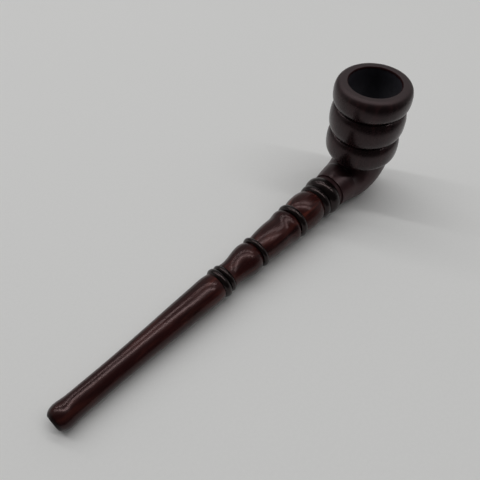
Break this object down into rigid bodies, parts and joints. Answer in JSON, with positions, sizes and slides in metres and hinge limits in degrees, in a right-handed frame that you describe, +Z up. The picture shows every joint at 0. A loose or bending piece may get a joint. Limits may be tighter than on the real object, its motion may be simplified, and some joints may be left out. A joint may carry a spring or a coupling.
{
  "type": "tobacco pipe",
  "caption": "Turned rosewood tobacco pipe: an upright bowl of stacked rounded rings on a curved heel, a stem of vases and beads parted by ebony rings, and a long tapered mouthpiece.",
  "frame": {"origin": "on the flat under the heel, straight below the bowl's axis", "axes": "+Z up along the bowl's axis, +X horizontally towards the mouthpiece, XZ is the plane of symmetry"},
  "size_m": [0.1689, 0.0298, 0.0524],
  "materials": {
    "rosewood_bowl": "dark rosewood, satin wax polish, charred inside the chamber",
    "rosewood_stem": "red-brown rosewood with dark grain along the stem, satin polish",
    "ebony": "near-black ebony, polished",
    "brass_tube": "drawn tube, lightly brushed"
  },
  "bodies": {
    "bowl": {"bowl": "rosewood_bowl", "shank_collar": "ebony"},
    "front_tenon": {"front_tenon": "brass_tube", "front_ring": "ebony"},
    "stem": {"stem_bead": "rosewood_stem", "middle_ring": "ebony", "long_vase": "rosewood_stem", "neck_ring": "ebony", "short_vase": "rosewood_stem"},
    "rear_tenon": {"rear_tenon": "brass_tube", "rear_ring": "ebony"},
    "mouthpiece": {"mouthpiece_ring": "ebony", "mouthpiece": "rosewood_stem"}
  },
  "joints": [
    {"name": "stem_pull", "type": "slide", "parent": "bowl", "child": "front_tenon", "axis": [0.9996, 0, -0.0295], "range_m": [0, 0.012]},
    {"name": "stem_twist", "type": "hinge", "parent": "front_tenon", "child": "stem", "pos_m": [0.03, 0, 0.00822], "axis": [0.9996, 0, -0.0295], "continuous": true},
    {"name": "mouthpiece_pull", "type": "slide", "parent": "stem", "child": "rear_tenon", "axis": [0.9996, 0, -0.0295], "range_m": [0, 0.009]},
    {"name": "mouthpiece_twist", "type": "hinge", "parent": "rear_tenon", "child": "mouthpiece", "pos_m": [0.082, 0, 0.00668], "axis": [0.9996, 0, -0.0295], "continuous": true}
  ]
}
